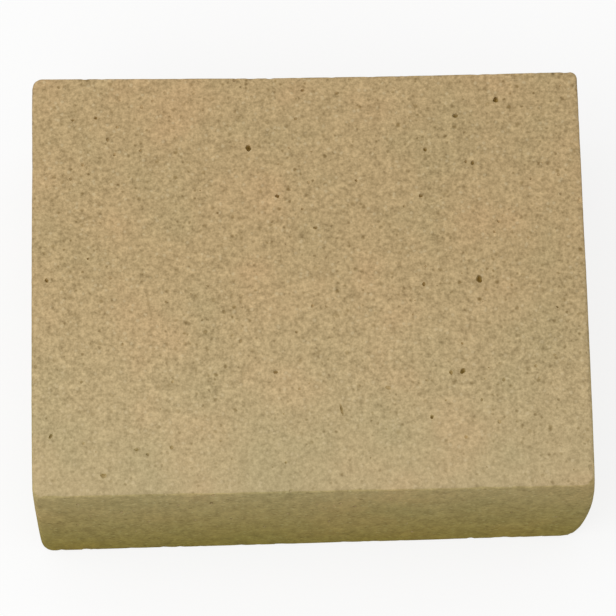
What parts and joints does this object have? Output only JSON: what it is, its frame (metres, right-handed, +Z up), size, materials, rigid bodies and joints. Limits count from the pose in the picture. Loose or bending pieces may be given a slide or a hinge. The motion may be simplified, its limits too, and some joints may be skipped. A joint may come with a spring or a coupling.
{
  "type": "refractory firebrick",
  "caption": "Solid rectangular firebrick of sandy tan fireclay with flat faces, slightly rounded edges and small pores, for lining a stove or firebox.",
  "frame": {"origin": "middle of the bed face that the brick lies on", "axes": "+X along the length, +Y across the width away from the side seen in the picture, +Z up through the thickness"},
  "size_m": [0.18, 0.142, 0.064],
  "materials": {
    "fireclay": "matte"
  },
  "bodies": {
    "root": {"firebrick": "fireclay"}
  },
  "joints": []
}
